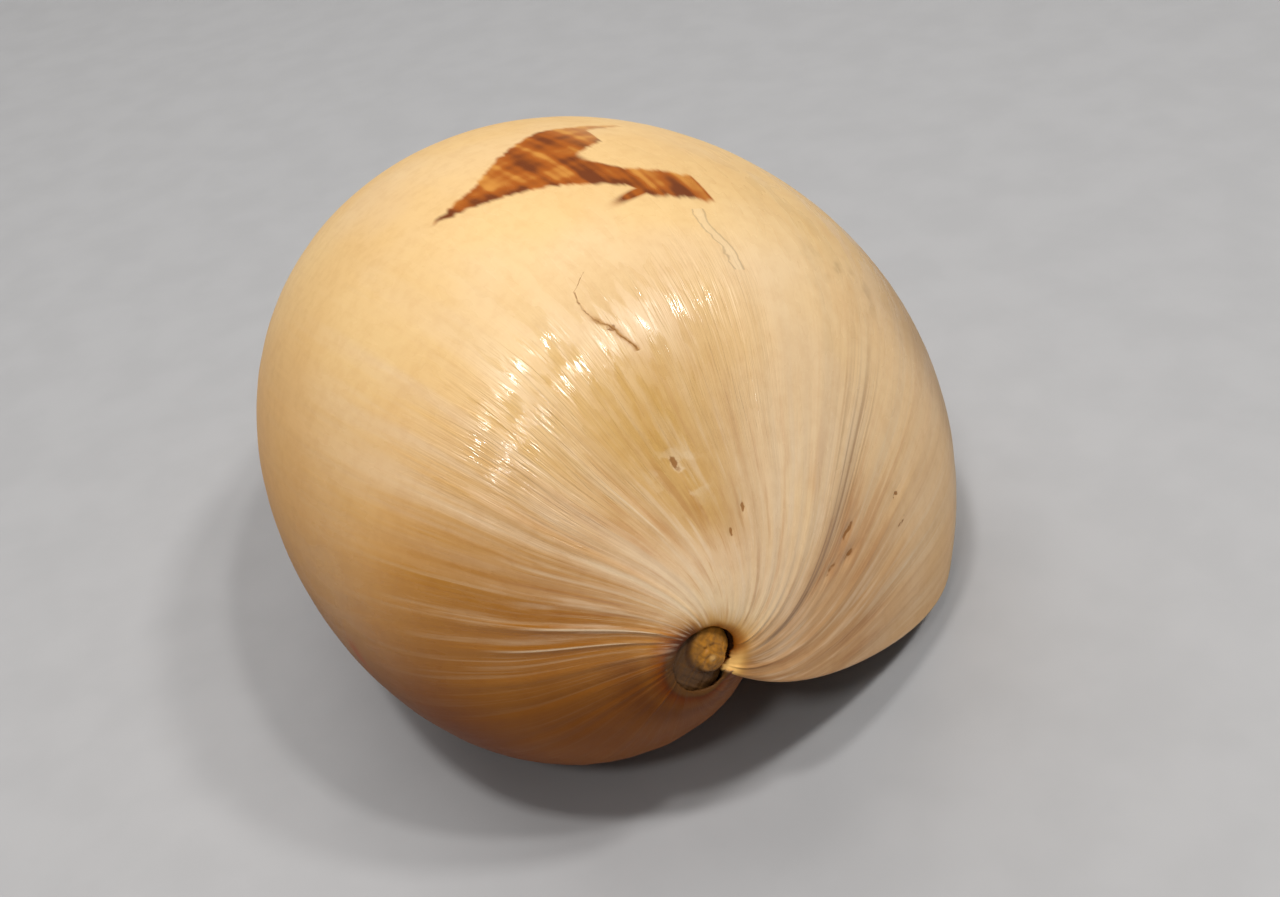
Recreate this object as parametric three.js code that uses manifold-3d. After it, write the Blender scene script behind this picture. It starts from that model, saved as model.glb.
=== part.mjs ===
// A volute shell lying on its aperture: one hollow solid, coiled from a single lip outline.
// Millimetres. In the shell's own frame the coiling axis is Z, with the apex at the origin and the
// anterior end at negative Z. The finished shell is turned so that it rests on the plane Z = 0.

import * as THREE from "three";
import { mergeVertices } from "three/addons/utils/BufferGeometryUtils.js";
import Module from "manifold-3d";

const TURN = 2 * Math.PI;

// Control points of the outer lip, as radius from the axis and height along it, apex to anterior end
const LIP = [
  [4.2, -1],
  [4.2, 2.1],
  [16.5, 2.6],
  [41.5, -6.5],
  [75, -24.5],
  [89.5, -57],
  [90, -95],
  [81, -124],
  [60, -151],
  [31, -171],
  [4, -177],
];

// Growth: how fast the whorl shrinks for each radian back from the lip
const RADIAL_RATE = 0.167;
const RADIAL_SLOWING = 0.007;
const AXIAL_RATE = 0.104;
const ANTERIOR_HOLD = 0.6; // share of the axial shrinking that the anterior end is spared
const ANTERIOR_FROM = 0.5; // where along the lip that starts
const RIM_LIP = 4.2; // radius of the rim round the apex, at the lip
const RIM_OLD = 7.2; // and where it is oldest
const RIM_SETTLE = 1.2; // radians in which one becomes the other
const RIM_FADE = 6; // power with which the rim's own radius fades along the lip

// Skew of a growth line out of the half-plane through the axis, in radians
const SKEW = [1.72, -0.32, -0.95];
const NOTCH_DEPTH = 0.7; // how far the lip draws back at the siphonal notch, in radians
const NOTCH_AT = 0.96;
const NOTCH_WIDTH = 0.085;

// Near the apex the growth lines lean back from that skew, in radians, but not at the lip itself
const LEAN = 0.35;
const LEAN_FROM = 0.1;
const LEAN_TO = 0.34;
const LEAN_SETTLE = 1.2;

// Low growth ridges that fan out from the apex, as growth line and height
const RIDGES = [
  [0.6, 0.3],
  [0.95, -0.3],
  [1.3, 0.25],
  [2.33, 0.35],
  [3.18, 0.45],
  [3.32, 0.4],
  [4.5, 0.3],
];
const RIDGE_HALF_WIDTH = 0.05;

// Wall, and the inner side of the mouth
const WALL = 2.4;
const LIP_WALL = 1.5;
const WALL_SETTLE = 0.4; // radians in which the lip thickens to the full wall
const CALLUS = 1.4; // glaze over the earlier whorl
const CALLUS_EDGE = 0.4;
const COLUMELLA_RADIUS = 8;
const COLUMELLA_FROM = 0.52;
const COLUMELLA_FULL = 0.93;
const PLAITS = [0.68, 0.74, 0.8]; // three folds of the columella, by place along the lip
const PLAIT_HEIGHT = 3.4;
const PLAIT_HALF_WIDTH = 0.03;
const CAVITY_FROM = 0.215; // the mouth's ends, by place along the lip
const CAVITY_STEP = 0.025; // how much further the near end is one radian in
const CAVITY_TO = 0.972;
const CAVITY_DEPTH = 1.12 * TURN;
const CAVITY_FILLED = 0.13; // how much of the lip's length near the apex has filled in at that depth
const CAVITY_LEAD = 0.07; // how far the cut runs on past the lip, in radians

// Apex: the smooth first whorls stand in a small pit, as radius, top and centre of each
const PIT_FLOOR = -4;
const PIT_WALL = 1.6; // what is left round the pit, down to PIT_BASE
const PIT_BASE = -9;
const DOME_FOOT = -6;
const DOME_CROWN = 2.6; // the most that a dome's rounded top is high
const DOMES = [
  [5.2, -0.8, [0.4, -0.9]],
  [3.7, 1.2, [-0.75, 0.9]],
  [2, 1.7, [0.7, 0.95]],
];

// Pits and the chip at the crack, as age, place along the lip, length, width and depth
const PITS = [
  [1.94, 0.389, 3.2, 2, 0.9],
  [1.976, 0.301, 3, 1.6, 0.6],
  [1.64, 0.26, 2.2, 1.4, 0.5],
  [0.8, 0.276, 4.2, 1.6, 0.7],
  [0.69, 0.268, 3, 1.4, 0.6],
  [0.75, 0.249, 3.4, 1.4, 0.6],
];

// Pose on the table, in degrees: a spin about the axis that turns the mouth down, then a tilt that lays
// the axis along Y with the apex towards -Y
const SPIN = -59.74;
const TILT = 82.98;
const WORN = 0.3; // depth of the worn spots that it rests on

// Facets
const STEPS = 60;
const LIP_STEPS = 26;
const CAVITY_STEPS = 45;
const OUTER_CUTS = 14; // cuts along each part of the cavity's section
const GLAZE_CUTS = 5;
const END_CUTS = 3;

const wasm = await Module();
wasm.setup();

const smoothstep = (from, to, x) => {
  const k = Math.min(1, Math.max(0, (x - from) / (to - from)));
  return k * k * (3 - 2 * k);
};

const raisedCosine = (x) => (Math.abs(x) < 1 ? 0.5 + 0.5 * Math.cos(Math.PI * x) : 0);

// A point of the uniform cubic B-spline that starts and ends on the outline's end points
function lipPoint(s) {
  const last = LIP.length - 1;
  const mirrored = (end, next) => [2 * end[0] - next[0], 2 * end[1] - next[1]];
  const points = [mirrored(LIP[0], LIP[1]), ...LIP, mirrored(LIP[last], LIP[last - 1])];
  const spans = points.length - 3;
  const u = Math.min(s * spans, spans - 1e-9);
  const i = Math.floor(u);
  const f = u - i;
  const weights = [
    (1 - f) ** 3 / 6,
    (3 * f ** 3 - 6 * f ** 2 + 4) / 6,
    (-3 * f ** 3 + 3 * f ** 2 + 3 * f + 1) / 6,
    f ** 3 / 6,
  ];
  return [0, 1].map((k) => weights.reduce((sum, weight, j) => sum + weight * points[i + j][k], 0));
}

const rimRadius = (age) => RIM_OLD - (RIM_OLD - RIM_LIP) * Math.exp(-age / RIM_SETTLE);

// Radius and height of the smooth outer surface: age is radians back from the lip, s runs along it
function smoothProfile(age, s) {
  const [radius, height] = lipPoint(s);
  const shrink = Math.exp(-RADIAL_RATE * age - RADIAL_SLOWING * age * age);
  const hold = 1 - ANTERIOR_HOLD * smoothstep(ANTERIOR_FROM, 1, s);
  return [
    radius * shrink + (rimRadius(age) - RIM_LIP * shrink) * (1 - s) ** RIM_FADE,
    height * Math.exp(-AXIAL_RATE * age * hold),
  ];
}

const skew = (s) =>
  SKEW.reduce((sum, factor, i) => sum + factor * s ** (i + 1), 0) +
  NOTCH_DEPTH * Math.exp(-(((s - NOTCH_AT) / NOTCH_WIDTH) ** 2));

const place = ([radius, height], angle) =>
  new THREE.Vector3(radius * Math.cos(angle), radius * Math.sin(angle), height);

// The smooth profile pushed along its own normal in the half-plane: positive is outwards
function offsetProfile(age, s, distance) {
  const step = 1e-3;
  const [r0, h0] = smoothProfile(age, Math.max(0, s - step));
  const [r1, h1] = smoothProfile(age, Math.min(1, s + step));
  const length = Math.hypot(r1 - r0, h1 - h0);
  const [radius, height] = smoothProfile(age, s);
  return [radius - ((h1 - h0) / length) * distance, height + ((r1 - r0) / length) * distance];
}

// How far back a growth line has leant from its place further along
const lean = (line, s) =>
  LEAN *
  (1 - smoothstep(LEAN_FROM, LEAN_TO, s)) *
  smoothstep(0, LEAN_SETTLE, line) *
  (1 - smoothstep(TURN - LEAN_SETTLE, TURN, line));

// A point of the outer surface on a growth line, with the ridges, which fade towards both ends
function outerPoint(line, s) {
  const age = line - lean(line, s);
  const height = RIDGES.reduce(
    (sum, [at, rise]) => sum + rise * raisedCosine((line - at) / RIDGE_HALF_WIDTH),
    0,
  );
  const fade = smoothstep(0.02, 0.08, s) * (1 - smoothstep(0.35, 0.6, s));
  return place(offsetProfile(age, s, height * fade), age + skew(s));
}

// The mouth's inner side: the earlier whorl with its glaze, clear of the apex pit and running into
// the folded columella
function innerSide(age, s) {
  const glaze = CALLUS_EDGE + (CALLUS - CALLUS_EDGE) * smoothstep(0, WALL_SETTLE, age);
  const [whorl, height] = offsetProfile(age + TURN, s, glaze);
  const clear = (rimRadius(Math.max(0, age)) + PIT_WALL) * smoothstep(PIT_BASE, PIT_FLOOR, height);
  const radius = Math.max(whorl, clear);
  const pillar = smoothstep(COLUMELLA_FROM, COLUMELLA_FULL, s);
  const scale = Math.exp(-0.3 * RADIAL_RATE * age);
  const end = smoothProfile(age, s)[1] + WALL * 1.5 * smoothstep(0.8, 1, s);
  const folds = PLAITS.reduce((sum, at) => sum + raisedCosine((s - at) / PLAIT_HALF_WIDTH), 0);
  return [
    radius * (1 - pillar) + (COLUMELLA_RADIUS * pillar + PLAIT_HEIGHT * folds) * scale,
    height * (1 - pillar) + end * pillar,
  ];
}

// Each ring of points is joined to the next, and each four-sided gap is split on its shorter diagonal
function joinRings(rings, closeRing) {
  const vertices = rings.flat();
  const size = rings[0].length;
  const faces = [];
  const columns = closeRing ? size : size - 1;
  for (let i = 0; i < rings.length - 1; i++)
    for (let j = 0; j < columns; j++) {
      const a = i * size + j;
      const b = i * size + ((j + 1) % size);
      const c = b + size;
      const d = a + size;
      const first = vertices[a].distanceTo(vertices[c]);
      const second = vertices[b].distanceTo(vertices[d]);
      if (first < second) faces.push([a, b, c], [a, c, d]);
      else faces.push([a, b, d], [b, c, d]);
    }
  return { vertices, faces };
}

function manifold({ vertices, faces }) {
  const geometry = new THREE.BufferGeometry().setFromPoints(vertices).setIndex(faces.flat());
  const merged = mergeVertices(geometry, 1e-4);
  const kept = [];
  const index = merged.index.array;
  for (let i = 0; i < index.length; i += 3) {
    const [a, b, c] = index.slice(i, i + 3);
    if (a !== b && b !== c && c !== a) kept.push(a, b, c);
  }
  const solid = new wasm.Manifold(
    new wasm.Mesh({
      numProp: 3,
      vertProperties: merged.attributes.position.array,
      triVerts: new Uint32Array(kept),
    }),
  );
  if (solid.volume() > 0) return solid;
  for (let i = 0; i < kept.length; i += 3) [kept[i + 1], kept[i + 2]] = [kept[i + 2], kept[i + 1]];
  return new wasm.Manifold(
    new wasm.Mesh({
      numProp: 3,
      vertProperties: merged.attributes.position.array,
      triVerts: new Uint32Array(kept),
    }),
  );
}

// The last whorl as if it were filled: the outer surface, the flat of the mouth, and both ends
function filledWhorl() {
  const base = smoothProfile(TURN, 1)[1];
  const lines = RIDGES.flatMap(([at]) => [at - RIDGE_HALF_WIDTH, at, at + RIDGE_HALF_WIDTH]);
  for (let i = 0; i <= STEPS; i++) {
    const line = (TURN * i) / STEPS;
    if (lines.every((other) => Math.abs(other - line) > RIDGE_HALF_WIDTH * 0.6)) lines.push(line);
  }
  lines.sort((a, b) => a - b);
  const rings = [];
  for (const line of lines) {
    const ring = [new THREE.Vector3(0, 0, PIT_FLOOR)];
    for (let j = 0; j <= LIP_STEPS; j++) {
      const s = (j / LIP_STEPS) ** 1.15;
      ring.push(outerPoint(line, s));
    }
    ring.push(new THREE.Vector3(0, 0, base));
    rings.push(ring);
  }
  const shape = joinRings(rings, false);
  // The mouth: the first ring, at the lip, is joined to the last, a whorl earlier
  const size = rings[0].length;
  const last = (lines.length - 1) * size;
  for (let j = 0; j < size - 1; j++)
    shape.faces.push([last + j, last + j + 1, j + 1], [last + j, j + 1, j]);
  return manifold(shape);
}

// The space inside the whorl, from just outside the lip to where it closes
function cavity() {
  const spread = (from, to, count) =>
    Array.from({ length: count }, (_, j) => from + ((to - from) * j) / count);
  const foldFrom = PLAITS[0] - PLAIT_HALF_WIDTH;
  const foldTo = PLAITS[2] + PLAIT_HALF_WIDTH;
  const outerCuts = (from) => [...spread(from, CAVITY_TO, OUTER_CUTS), CAVITY_TO];
  const innerCuts = (from) => [
    ...spread(from, foldFrom, GLAZE_CUTS),
    ...spread(foldFrom, foldTo, 2 * PLAITS.length),
    ...spread(foldTo, CAVITY_TO, END_CUTS),
    CAVITY_TO,
  ];
  const rings = [];
  for (let i = 0; i <= CAVITY_STEPS; i++) {
    const age = -CAVITY_LEAD + ((CAVITY_DEPTH + CAVITY_LEAD) * i) / CAVITY_STEPS;
    const full = WALL * Math.exp(-0.08 * Math.max(0, age));
    const wall = LIP_WALL + (full - LIP_WALL) * smoothstep(0, WALL_SETTLE, age);
    const from =
      CAVITY_FROM +
      CAVITY_STEP * smoothstep(0, 1, age) +
      CAVITY_FILLED * smoothstep(TURN / 3, CAVITY_DEPTH, age);
    const outer = outerCuts(from).map((s) => place(offsetProfile(age, s, -wall), age + skew(s)));
    const inner = innerCuts(from).map((s) => place(innerSide(age, s), age + skew(s)));
    rings.push([...outer, ...inner.toReversed()]);
  }
  const shape = joinRings(rings, true);
  const size = rings[0].length;
  const outer = outerCuts(CAVITY_FROM);
  const inner = innerCuts(CAVITY_FROM);
  // Each end is closed by a strip that climbs both sides together
  for (const first of [0, CAVITY_STEPS * size]) {
    let i = 0;
    let j = 0;
    while (i < outer.length - 1 || j < inner.length - 1) {
      const a = first + i;
      const b = first + size - 1 - j;
      const climbOuter = j === inner.length - 1 || (i < outer.length - 1 && outer[i + 1] < inner[j + 1]);
      const next = climbOuter ? a + 1 : b - 1;
      shape.faces.push(first ? [a, next, b] : [next, a, b]);
      if (climbOuter) i++;
      else j++;
    }
  }
  return manifold(shape);
}

// The pillar round the axis, tapered at its foot
function columella() {
  const profile = [
    [0, -176.5],
    [COLUMELLA_RADIUS * 0.24, -176],
    [COLUMELLA_RADIUS * 0.5, -172.5],
    [COLUMELLA_RADIUS * 0.72, -166],
    [COLUMELLA_RADIUS * 0.92, -157],
    [COLUMELLA_RADIUS * 1.06, -146],
    [COLUMELLA_RADIUS * 1.1, -135],
    [COLUMELLA_RADIUS, -115],
    [COLUMELLA_RADIUS * 0.9, -64],
    [0, -60],
  ].map(([radius, height]) => new THREE.Vector2(radius, height));
  return latheSolid(profile, 20);
}

function latheSolid(profile, sides) {
  const geometry = new THREE.LatheGeometry(profile, sides);
  geometry.rotateX(Math.PI / 2);
  const position = geometry.attributes.position;
  const vertices = [];
  for (let i = 0; i < position.count; i++)
    vertices.push(new THREE.Vector3().fromBufferAttribute(position, i));
  const index = geometry.index.array;
  const faces = [];
  for (let i = 0; i < index.length; i += 3) faces.push([...index.slice(i, i + 3)]);
  return manifold({ vertices, faces });
}

// A dome with a rounded shoulder, standing on the pit's floor
function dome([radius, top, [x, y]]) {
  const profile = [new THREE.Vector2(0, DOME_FOOT), new THREE.Vector2(radius, DOME_FOOT)];
  const crown = Math.min(radius * 0.7, DOME_CROWN);
  const rings = 5;
  for (let j = 0; j <= rings; j++) {
    const angle = ((Math.PI / 2) * j) / rings;
    const out = j === rings ? 0 : radius * Math.cos(angle);
    profile.push(new THREE.Vector2(out, top - crown + crown * Math.sin(angle)));
  }
  return latheSolid(profile, 16).translate([x, y, 0]);
}

// A shallow pit, long along the growth line
function pit([age, s, length, width, depth]) {
  const at = place(smoothProfile(age, s), age + skew(s));
  const along = place(smoothProfile(age, s + 0.01), age + skew(s + 0.01)).sub(at).normalize();
  const across = place(smoothProfile(age + 0.02, s), age + 0.02 + skew(s)).sub(at);
  const outward = along.clone().cross(across).normalize();
  if (outward.dot(at) < 0) outward.negate();
  const geometry = new THREE.IcosahedronGeometry(1, 1);
  geometry.applyMatrix4(new THREE.Matrix4().makeScale(length / 2, width / 2, depth));
  const side = outward.clone().cross(along);
  geometry.applyMatrix4(new THREE.Matrix4().makeBasis(along, side, outward).setPosition(at));
  const position = geometry.attributes.position;
  const vertices = [];
  const faces = [];
  for (let i = 0; i < position.count; i++) {
    vertices.push(new THREE.Vector3().fromBufferAttribute(position, i));
    if (i % 3 === 0) faces.push([i, i + 1, i + 2]);
  }
  return manifold({ vertices, faces });
}

let shell = filledWhorl().subtract(cavity()).add(columella());
for (const whorl of DOMES) shell = shell.add(dome(whorl));
for (const hollow of PITS) shell = shell.subtract(pit(hollow));
shell = shell.decompose().reduce((best, piece) => (piece.volume() > best.volume() ? piece : best));
shell = shell.rotate([0, 0, SPIN]).rotate([TILT, 0, 0]);
const box = shell.boundingBox();
shell = shell.translate([
  -(box.min[0] + box.max[0]) / 2,
  -(box.min[1] + box.max[1]) / 2,
  -box.min[2] - WORN,
]);
shell = shell.trimByPlane([0, 0, 1], 0);

const { vertProperties, triVerts, numProp } = shell.getMesh();
const positions = new Float32Array((vertProperties.length / numProp) * 3);
for (let i = 0; i < positions.length / 3; i++)
  positions.set(vertProperties.subarray(i * numProp, i * numProp + 3), i * 3);
const geometry = new THREE.BufferGeometry()
  .setAttribute("position", new THREE.BufferAttribute(positions, 3))
  .setIndex(new THREE.BufferAttribute(triVerts, 1));

const mesh = new THREE.Mesh(
  geometry,
  new THREE.MeshStandardMaterial({ color: 0xe0b878, roughness: 0.35, metalness: 0 }),
);
mesh.name = "shell";

const part = new THREE.Group();
part.add(mesh);
export default part;
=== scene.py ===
"""A volute shell lying on its mouth: one glazed, streaked shell, a plain floor and a soft studio."""

import logging
import math
from dataclasses import dataclass, field
from enum import Enum
from typing import Any, Sequence

import bpy
import numpy as np
from mathutils import Matrix, Vector


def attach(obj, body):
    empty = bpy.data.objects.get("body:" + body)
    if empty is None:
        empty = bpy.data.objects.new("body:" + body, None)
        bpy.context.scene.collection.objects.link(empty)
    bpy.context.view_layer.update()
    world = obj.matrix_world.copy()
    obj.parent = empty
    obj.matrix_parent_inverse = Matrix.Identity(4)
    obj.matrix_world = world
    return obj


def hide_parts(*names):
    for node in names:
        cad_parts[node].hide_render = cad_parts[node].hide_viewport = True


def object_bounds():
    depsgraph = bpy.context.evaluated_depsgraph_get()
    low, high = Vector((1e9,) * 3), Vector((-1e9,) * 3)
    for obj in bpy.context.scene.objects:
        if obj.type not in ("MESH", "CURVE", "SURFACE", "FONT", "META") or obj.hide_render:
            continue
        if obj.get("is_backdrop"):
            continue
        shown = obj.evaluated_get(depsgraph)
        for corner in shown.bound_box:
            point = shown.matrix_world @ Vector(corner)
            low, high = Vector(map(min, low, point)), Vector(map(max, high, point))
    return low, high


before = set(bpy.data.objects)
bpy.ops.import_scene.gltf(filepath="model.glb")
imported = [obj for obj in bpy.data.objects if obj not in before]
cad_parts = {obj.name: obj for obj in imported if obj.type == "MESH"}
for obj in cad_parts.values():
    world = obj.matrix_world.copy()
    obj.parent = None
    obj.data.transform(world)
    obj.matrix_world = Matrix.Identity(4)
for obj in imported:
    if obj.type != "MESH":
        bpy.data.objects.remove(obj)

log = logging.getLogger("volute")

TURN = 2.0 * math.pi
MM = 0.001
DRIFT_VALUES = 4096
DRIFT_START = 512.0

Array = np.ndarray
Colour = tuple[float, float, float]
Place = tuple[float, float, float]
Span = tuple[float, float]
Path = tuple[Span, ...]


def smoothstep(low: float, high: float, x: Array) -> Array:
    """A smooth rise from 0 at low to 1 at high.

    Args:
        low: where the rise starts.
        high: where it ends.
        x: the values to read it at.

    Returns:
        The rise at each value.
    """
    k = np.clip((x - low) / (high - low), 0.0, 1.0)
    return k * k * (3.0 - 2.0 * k)


def raised_cosine(x: Array) -> Array:
    """A rounded hump, 1 high at 0 and level with the ground past -1 and 1."""
    return np.where(np.abs(x) < 1.0, 0.5 + 0.5 * np.cos(np.pi * np.clip(x, -1.0, 1.0)), 0.0)


def drift(x: Array, pitch: float, seed: int) -> Array:
    """Smooth random drift along one line, from -1 to 1.

    Args:
        x: places along the line.
        pitch: distance between one random value and the next.
        seed: which row of random values is used.

    Returns:
        The drift at each place.
    """
    values = np.random.default_rng(seed).uniform(-1.0, 1.0, DRIFT_VALUES)
    u = np.asarray(x, dtype=float) / pitch + DRIFT_START
    cell = np.floor(u).astype(int)
    f = u - cell
    f = f * f * (3.0 - 2.0 * f)
    return values[cell % DRIFT_VALUES] * (1.0 - f) + values[(cell + 1) % DRIFT_VALUES] * f


@dataclass(frozen=True)
class Wave:
    """Smooth random drift with a height of its own, in millimetres."""

    height: float
    pitch: float
    seed: int

    def at(self, x: Array) -> Array:
        """The drift at each place."""
        return self.height * drift(x, self.pitch, self.seed)


@dataclass(frozen=True)
class Pose:
    """How the shell lies: a spin about its axis, a tilt that lays it down, and its place."""

    spin: float = math.radians(-59.74)
    tilt: float = math.radians(82.98)
    shift: Place = (-19.266, -86.314, 39.682)

    def lay(self, points: Array) -> Array:
        """Points of the standing shell in millimetres, as they lie on the table in metres."""
        turn = Matrix.Rotation(self.tilt, 3, "X") @ Matrix.Rotation(self.spin, 3, "Z")
        return (points @ np.array(turn).T + np.array(self.shift)) * MM


@dataclass(frozen=True)
class GrowthLaw:
    """The growth of one whorl. Age is radians back from the lip, and s runs along it from the apex."""

    lip_points: Path = (
        (4.2, -1.0), (4.2, 2.1), (16.5, 2.6), (41.5, -6.5), (75.0, -24.5), (89.5, -57.0), (90.0, -95.0),
        (81.0, -124.0), (60.0, -151.0), (31.0, -171.0), (4.0, -177.0),
    )
    radial_rate: float = 0.167
    radial_slowing: float = 0.007
    axial_rate: float = 0.104
    anterior_hold: float = 0.6
    anterior_from: float = 0.5
    rim_lip: float = 4.2
    rim_old: float = 7.2
    rim_settle: float = 1.2
    rim_fade: float = 6.0
    skew_factors: tuple[float, ...] = (1.72, -0.32, -0.95)
    notch_depth: float = 0.7
    notch_at: float = 0.96
    notch_width: float = 0.085
    lean: float = 0.35
    lean_from: float = 0.1
    lean_to: float = 0.34

    def rim(self, age: Array) -> Array:
        """Radius of the rim round the apex."""
        return self.rim_old - (self.rim_old - self.rim_lip) * np.exp(-age / self.rim_settle)

    def lip(self, s: Array) -> tuple[Array, Array]:
        """Radius and height of the outer lip at s."""
        points = [np.array(p) for p in self.lip_points]
        points = [2 * points[0] - points[1], *points, 2 * points[-1] - points[-2]]
        table = np.array(points)
        spans = len(table) - 3
        u = np.clip(s, 0.0, 1.0) * spans
        i = np.minimum(u.astype(int), spans - 1)
        f = u - i
        weights = (
            (1 - f) ** 3 / 6,
            (3 * f**3 - 6 * f**2 + 4) / 6,
            (-3 * f**3 + 3 * f**2 + 3 * f + 1) / 6,
            f**3 / 6,
        )
        place = sum(w[..., None] * table[i + k] for k, w in enumerate(weights))
        return place[..., 0], place[..., 1]

    def profile(self, age: Array, s: Array) -> tuple[Array, Array]:
        """Radius and height of the smooth outer surface."""
        radius, height = self.lip(s)
        shrink = np.exp(-self.radial_rate * age - self.radial_slowing * age * age)
        hold = 1.0 - self.anterior_hold * smoothstep(self.anterior_from, 1.0, s)
        fade = (1.0 - np.clip(s, 0.0, 1.0)) ** self.rim_fade
        return (
            radius * shrink + (self.rim(age) - self.rim_lip * shrink) * fade,
            height * np.exp(-self.axial_rate * age * hold),
        )

    def raised(self, age: Array, s: Array, distance: Array) -> tuple[Array, Array]:
        """The profile pushed outwards along its own normal.

        Args:
            age: radians back from the lip.
            s: place along the lip.
            distance: how far it is pushed, in millimetres.

        Returns:
            Radius and height of the pushed profile.
        """
        step = 1e-3
        r0, h0 = self.profile(age, np.clip(s - step, 0.0, 1.0))
        r1, h1 = self.profile(age, np.clip(s + step, 0.0, 1.0))
        length = np.hypot(r1 - r0, h1 - h0)
        radius, height = self.profile(age, s)
        return radius - (h1 - h0) / length * distance, height + (r1 - r0) / length * distance

    def skew(self, s: Array) -> Array:
        """How far a growth line swings out of the half-plane through the axis."""
        a, b, c = self.skew_factors
        notch = self.notch_depth * np.exp(-(((s - self.notch_at) / self.notch_width) ** 2))
        return a * s + b * s**2 + c * s**3 + notch

    def line(self, age: Array, s: Array) -> Array:
        """The growth line through a point: near the apex the lines lean back."""
        return age + self.lean * (1.0 - smoothstep(self.lean_from, self.lean_to, s))

    def speed(self, s: Array) -> Array:
        """Millimetres that the lip moves for each radian of growth."""
        step = 0.01
        r0, h0 = self.profile(np.zeros_like(s), s)
        r1, h1 = self.profile(np.full_like(s, step), s)
        return np.sqrt((r1 - r0) ** 2 + (h1 - h0) ** 2 + (step * r0) ** 2) / step


@dataclass(frozen=True)
class Ridge:
    """A low ridge or groove that follows a growth line."""

    line: float
    start: float
    stop: float
    height: float
    half_width: float

    def stands(self, line: Array, s: Array) -> Array:
        """How far the ridge stands out at each point, in millimetres."""
        fade = smoothstep(self.start, self.start + 0.06, s)
        fade = fade * (1.0 - smoothstep(self.stop - 0.08, self.stop + 0.04, s))
        return self.height * fade * raised_cosine((line - self.line) / self.half_width)


@dataclass(frozen=True)
class Folds:
    """Random folds that follow the growth lines over one stretch of the lip."""

    wave: Wave
    start: Span
    stop: Span = (2.0, 3.0)

    def stands(self, line: Array, s: Array) -> Array:
        """How far the folds stand out at each point."""
        fade = smoothstep(*self.start, s) * (1.0 - smoothstep(*self.stop, s))
        return fade * self.wave.at(line)


@dataclass(frozen=True)
class Pit:
    """A shallow pit, with its size along and across the growth line in millimetres."""

    age: float
    s: float
    length: float
    width: float
    depth: float

    def sinks(self, law: GrowthLaw, speed: Array, age: Array, s: Array) -> Array:
        """How far the pit sinks in at each point.

        Args:
            law: the growth law that places the pit.
            speed: millimetres that the lip moves for each radian, at each point.
            age: radians back from the lip.
            s: place along the lip.

        Returns:
            The depth at each point, in millimetres.
        """
        step = 0.005
        r0, h0 = law.lip(np.array(self.s - step))
        r1, h1 = law.lip(np.array(self.s + step))
        shrink = math.exp(-law.radial_rate * self.age)
        along = float(np.hypot(r1 - r0, h1 - h0)) / (2.0 * step) * shrink
        across = speed * shrink
        far = ((s - self.s) * along / self.length) ** 2 + ((age - self.age) * across / self.width) ** 2
        return self.depth * np.exp(-4.0 * far)


@dataclass(frozen=True)
class Relief:
    """Ridges, folds and pits of the outer surface, in millimetres."""

    ridges: tuple[Ridge, ...] = (
        Ridge(0.6, 0.05, 0.4, 0.22, 0.05),
        Ridge(0.95, 0.1, 0.36, -0.14, 0.03),
        Ridge(1.04, 0.1, 0.36, 0.12, 0.03),
        Ridge(1.3, 0.06, 0.34, 0.18, 0.05),
        Ridge(2.33, 0.22, 0.35, 0.3, 0.018),
        Ridge(2.5, 0.12, 0.4, 0.14, 0.03),
        Ridge(2.68, 0.1, 0.42, 0.16, 0.03),
        Ridge(3.18, 0.13, 0.36, 0.34, 0.026),
        Ridge(3.32, 0.15, 0.37, 0.3, 0.024),
        Ridge(3.52, 0.12, 0.4, 0.2, 0.05),
        Ridge(4.5, 0.08, 0.4, 0.3, 0.05),
    )
    pits: tuple[Pit, ...] = (
        Pit(1.94, 0.389, 1.5, 1.1, 0.5),
        Pit(1.976, 0.301, 3.0, 1.5, 0.45),
        Pit(1.64, 0.26, 2.0, 1.3, 0.4),
        Pit(1.747, 0.242, 2.2, 1.0, 0.3),
        Pit(0.8, 0.276, 4.4, 1.6, 0.5),
        Pit(0.69, 0.268, 3.4, 1.6, 0.5),
        Pit(0.75, 0.249, 3.6, 1.6, 0.45),
        Pit(0.638, 0.325, 1.8, 1.1, 0.3),
        Pit(0.516, 0.321, 2.0, 1.2, 0.35),
    )
    folds: tuple[Folds, ...] = (
        Folds(Wave(0.1, 0.06, 3), (0.08, 0.2), (0.3, 0.5)),
        Folds(Wave(0.035, 0.06, 5), (0.14, 0.3)),
        Folds(Wave(0.12, 0.19, 6), (0.03, 0.09), (0.14, 0.26)),
    )

    def height(self, law: GrowthLaw, age: Array, s: Array) -> Array:
        """How far the surface stands out of the smooth one.

        Args:
            law: the growth law that places the ridges.
            age: radians back from the lip.
            s: place along the lip.

        Returns:
            The height at each point, in millimetres.
        """
        line = law.line(age, s)
        speed = law.speed(s)
        total = np.zeros_like(age)
        for form in (*self.ridges, *self.folds):
            total += form.stands(line, s)
        for pit in self.pits:
            total -= pit.sinks(law, speed, age, s)
        return total


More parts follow.
